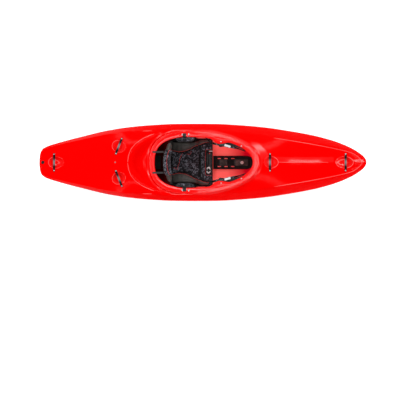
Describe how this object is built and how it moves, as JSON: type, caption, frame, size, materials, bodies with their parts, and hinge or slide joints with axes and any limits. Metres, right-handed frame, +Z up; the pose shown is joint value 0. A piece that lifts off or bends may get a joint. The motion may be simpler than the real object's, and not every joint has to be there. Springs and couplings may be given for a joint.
{
  "type": "whitewater kayak",
  "caption": "Decked whitewater kayak with a moulded hull, keyhole cockpit, padded seat and backband, thigh braces, foot brace and grab handles.",
  "frame": {"origin": "on the ground under the middle of the hull's length and beam", "axes": "+X along the keel towards the bow, +Y to port, +Z up"},
  "size_m": [2.7, 0.6398, 0.4473],
  "materials": {
    "shell": "gloss",
    "black_plastic": "satin",
    "handle_bar": "satin",
    "steel": "satin",
    "buckle": "satin",
    "patterned_fabric": "matte",
    "smooth_fabric": "matte",
    "webbing": "matte",
    "foam": "matte"
  },
  "bodies": {
    "hull": {"hull_shell": "shell", "bow_handle": "handle_bar", "bow_handle_bolt_left": "steel", "bow_handle_bolt_right": "steel", "foredeck_handle": "handle_bar", "foredeck_handle_bolt_left": "steel", "foredeck_handle_bolt_right": "steel", "stern_handle": "handle_bar", "stern_handle_bolt_left": "steel", "stern_handle_bolt_right": "steel", "rear_handle_left": "handle_bar", "rear_handle_left_bolt_left": "steel", "rear_handle_left_bolt_right": "steel", "rear_handle_right": "handle_bar", "rear_handle_right_bolt_left": "steel", "rear_handle_right_bolt_right": "steel", "stern_pillar": "foam", "pillar_screw": "steel", "bow_pillar": "foam", "seat_pan": "black_plastic", "seat_pad": "patterned_fabric", "seat_bolster_left": "smooth_fabric", "seat_bolster_right": "smooth_fabric", "hip_pad_left": "smooth_fabric", "hip_pad_right": "smooth_fabric", "thigh_brace_left": "black_plastic", "thigh_brace_right": "black_plastic", "seat_bolt_rear_left": "steel", "seat_bolt_rear_right": "steel", "seat_bolt_front_left": "steel", "seat_bolt_front_right": "steel", "brace_bolt_rear_left": "steel", "brace_bolt_rear_right": "steel", "brace_bolt_front_left": "steel", "brace_bolt_front_right": "steel", "ratchet_base_left": "buckle", "ratchet_base_right": "buckle", "ladder_strap_left": "webbing", "ladder_strap_right": "webbing", "center_track": "black_plastic", "track_bolt": "steel", "foot_rail_left": "black_plastic", "foot_rail_right": "black_plastic", "rail_bolt_rear_left": "steel", "rail_bolt_rear_right": "steel", "rail_bolt_front_left": "steel", "rail_bolt_front_right": "steel", "rear_strap_left": "webbing", "rear_strap_right": "webbing", "side_strap_left": "webbing", "side_strap_right": "webbing"},
    "backband": {"backband_pad": "smooth_fabric", "backband_plate": "black_plastic"},
    "leg_lifter": {"leg_lifter": "black_plastic", "thigh_pad": "patterned_fabric", "lifter_cleat": "buckle"},
    "lever_left": {"ratchet_lever_left": "buckle"},
    "lever_right": {"ratchet_lever_right": "buckle"},
    "foot_brace": {"foot_plate": "black_plastic"},
    "plug": {"drain_plug": "black_plastic"}
  },
  "joints": [
    {"name": "backband_tilt", "type": "hinge", "parent": "hull", "child": "backband", "pos_m": [-0.322, 0, 0.118], "axis": [0, 1, 0], "range_deg": [-5, 20], "deforming": ["ladder_strap_left", "ladder_strap_right", "rear_strap_left", "rear_strap_right"]},
    {"name": "leg_lift", "type": "hinge", "parent": "hull", "child": "leg_lifter", "pos_m": [-0.02, 0, 0.02627], "axis": [0, -1, 0], "range_deg": [0, 12]},
    {"name": "lever_left_lift", "type": "hinge", "parent": "hull", "child": "lever_left", "pos_m": [0.1827, 0.14214, 0.34501], "axis": [-0.2841, -0.957, -0.0583], "range_deg": [0, 70]},
    {"name": "lever_right_lift", "type": "hinge", "parent": "hull", "child": "lever_right", "pos_m": [0.1827, -0.14214, 0.34501], "axis": [0.2841, -0.957, 0.0583], "range_deg": [0, 70]},
    {"name": "foot_brace_slide", "type": "slide", "parent": "hull", "child": "foot_brace", "axis": [1, 0, 0], "range_m": [-0.08, 0.08]},
    {"name": "plug_turn", "type": "hinge", "parent": "hull", "child": "plug", "pos_m": [-1.321, 0, 0.363], "axis": [0, 0, 1], "range_deg": [0, 720]}
  ]
}
